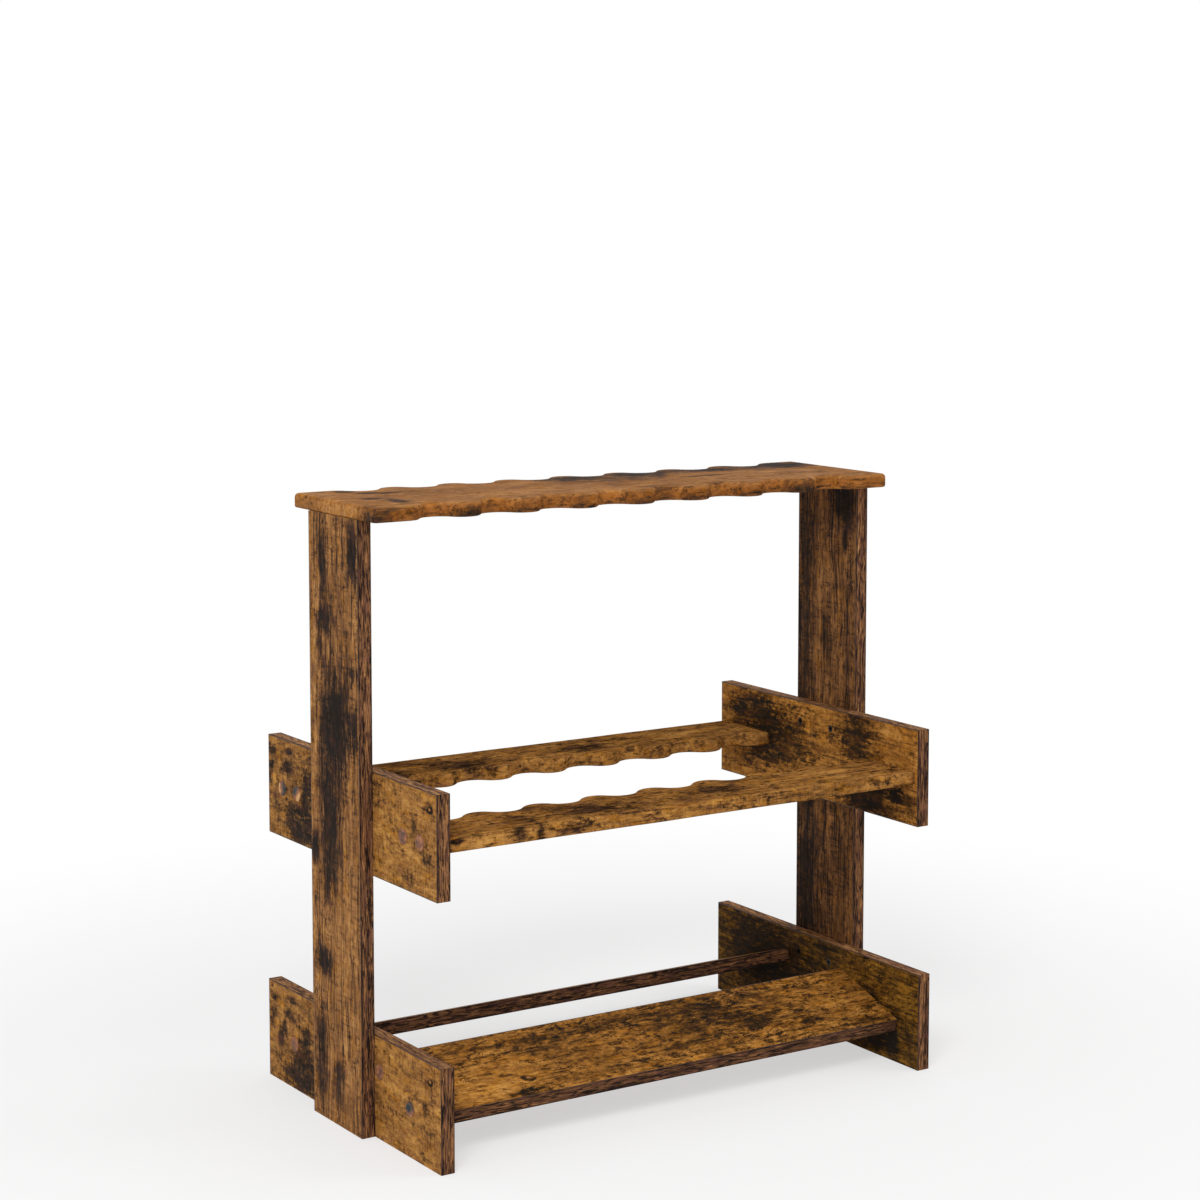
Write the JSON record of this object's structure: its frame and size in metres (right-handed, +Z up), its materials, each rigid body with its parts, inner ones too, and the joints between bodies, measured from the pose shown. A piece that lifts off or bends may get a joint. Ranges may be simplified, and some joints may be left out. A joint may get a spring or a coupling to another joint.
{
  "type": "fishing rod rack",
  "caption": "Free-standing rustic wooden rack with a wavy-edged top board, wavy middle rails and tilted bottom shelves that hold fishing rods upright along both long sides.",
  "frame": {"origin": "on the floor, under the middle of the rack", "axes": "+X along the rack to its right end seen from the front, +Y from the front row of rods to the back row, +Z up"},
  "size_m": [0.64, 0.375, 0.643],
  "materials": {
    "upright_board": "matt printed board, broad upright grain",
    "cross_board": "matt printed board, golden brown with dark blotches",
    "bottom_shelf": "matt printed board, golden brown with dark flecks",
    "top_board": "satin wrapped board, orange tan with rounded edges",
    "middle_rail": "satin wrapped board, orange brown with rounded edges",
    "edging": "matt edge strip, dark reddish brown with fine streaks",
    "screw_cap": "matt brown cap",
    "screw_steel": "zinc plated",
    "dowel_wood": "plain beech"
  },
  "bodies": {
    "root": {"left_upright": "upright_board", "right_upright": "upright_board", "top_board": "top_board", "left_foot_board": "cross_board", "right_foot_board": "cross_board", "left_middle_board": "cross_board", "right_middle_board": "cross_board", "front_middle_rail": "middle_rail", "back_middle_rail": "middle_rail", "front_bottom_shelf": "bottom_shelf", "back_bottom_shelf": "bottom_shelf", "left_upright_edging": "edging", "right_upright_edging": "edging", "left_foot_edging": "edging", "right_foot_edging": "edging", "left_middle_edging": "edging", "right_middle_edging": "edging", "front_shelf_edging": "edging", "back_shelf_edging": "edging", "rail_screws": "screw_steel", "rail_screw_caps": "screw_cap", "shelf_screws": "screw_steel", "shelf_screw_caps": "screw_cap", "foot_board_screws": "screw_steel", "middle_board_screws": "screw_steel", "top_board_dowels": "dowel_wood"}
  },
  "joints": []
}
